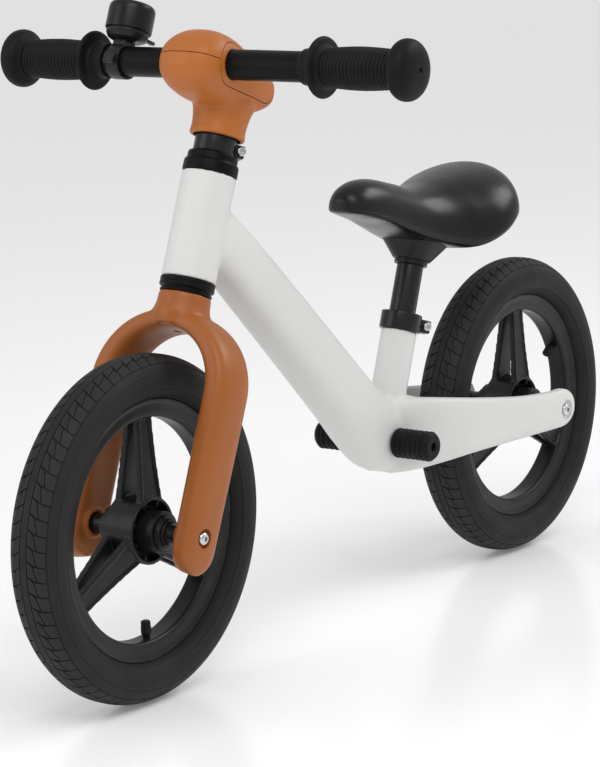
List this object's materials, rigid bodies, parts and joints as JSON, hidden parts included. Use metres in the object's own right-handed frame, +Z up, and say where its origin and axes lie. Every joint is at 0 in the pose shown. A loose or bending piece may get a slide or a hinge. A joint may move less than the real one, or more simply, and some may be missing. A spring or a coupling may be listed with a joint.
{
  "type": "balance bike",
  "caption": "Small child's balance bike with a slanted one-piece frame, orange horseshoe fork and stem cover, spoked wheels, foot pegs, padded saddle, grips and a bell.",
  "frame": {"origin": "on the ground under the middle of the bike, midway between the wheel axles", "axes": "+X forward along the bike, +Y to the rider's left along the handlebar, +Z up"},
  "size_m": [0.879, 0.423, 0.5691],
  "materials": {
    "white_paint": "matte",
    "orange_paint": "satin",
    "orange_plastic": "satin",
    "tyre_rubber": "matte",
    "black_rubber": "matte",
    "black_plastic": "satin",
    "black_metal": "satin",
    "soft_foam": "satin",
    "bright_steel": "polished"
  },
  "bodies": {
    "frame_body": {"frame": "white_paint", "lower_headset_cup": "black_metal", "upper_headset_cup": "black_metal", "seat_clamp": "black_metal", "seat_clamp_screw": "bright_steel", "rear_axle": "bright_steel", "rear_spacer_left": "black_metal", "rear_spacer_right": "black_metal", "rear_bolt_left": "bright_steel", "rear_bolt_right": "bright_steel", "peg_rod": "bright_steel", "peg_left": "black_rubber", "peg_right": "black_rubber"},
    "fork_body": {"fork": "orange_paint", "steerer_tube": "black_metal", "stem_clamp": "black_metal", "stem_clamp_screw": "bright_steel", "front_axle": "bright_steel", "front_spacer_left": "black_metal", "front_spacer_right": "black_metal", "front_bolt_left": "bright_steel", "front_bolt_right": "bright_steel"},
    "handlebar_body": {"stem": "black_metal", "handlebar": "black_metal", "stem_cover_upper": "orange_plastic", "stem_cover_lower": "orange_plastic", "cover_cap_left": "orange_plastic", "cover_cap_right": "orange_plastic", "grip_left": "black_rubber", "grip_right": "black_rubber", "bell_strap": "black_plastic", "bell_base": "black_plastic", "bell_dome": "black_metal"},
    "bell_lever_body": {"bell_lever": "black_plastic"},
    "front_wheel_body": {"front_rim": "black_plastic", "front_tyre": "tyre_rubber", "front_valve": "black_rubber"},
    "rear_wheel_body": {"rear_rim": "black_plastic", "rear_tyre": "tyre_rubber", "rear_valve": "black_rubber"},
    "saddle_body": {"seat_post": "black_metal", "saddle_pan": "black_plastic", "saddle": "soft_foam"}
  },
  "joints": [
    {"name": "steering", "type": "hinge", "parent": "frame_body", "child": "fork_body", "pos_m": [0.2945, 0, 0.145], "axis": [-0.3665, 0, 0.9304], "range_deg": [-60, 60]},
    {"name": "front_wheel_spin", "type": "hinge", "parent": "fork_body", "child": "front_wheel_body", "pos_m": [0.2945, 0, 0.145], "axis": [0, 1, 0], "continuous": true},
    {"name": "rear_wheel_spin", "type": "hinge", "parent": "frame_body", "child": "rear_wheel_body", "pos_m": [-0.2945, 0, 0.145], "axis": [0, 1, 0], "continuous": true},
    {"name": "handlebar_height", "type": "slide", "parent": "fork_body", "child": "handlebar_body", "axis": [-0.3665, 0, 0.9304], "range_m": [0, 0.05]},
    {"name": "saddle_height", "type": "slide", "parent": "frame_body", "child": "saddle_body", "axis": [-0.3371, 0, 0.9415], "range_m": [-0.03, 0.025]},
    {"name": "bell_lever_turn", "type": "hinge", "parent": "handlebar_body", "child": "bell_lever_body", "pos_m": [0.1682, -0.081, 0.53548], "axis": [-0.3665, 0, 0.9304], "range_deg": [-20, 0], "stiffness_Nm_per_rad": 0.02}
  ]
}
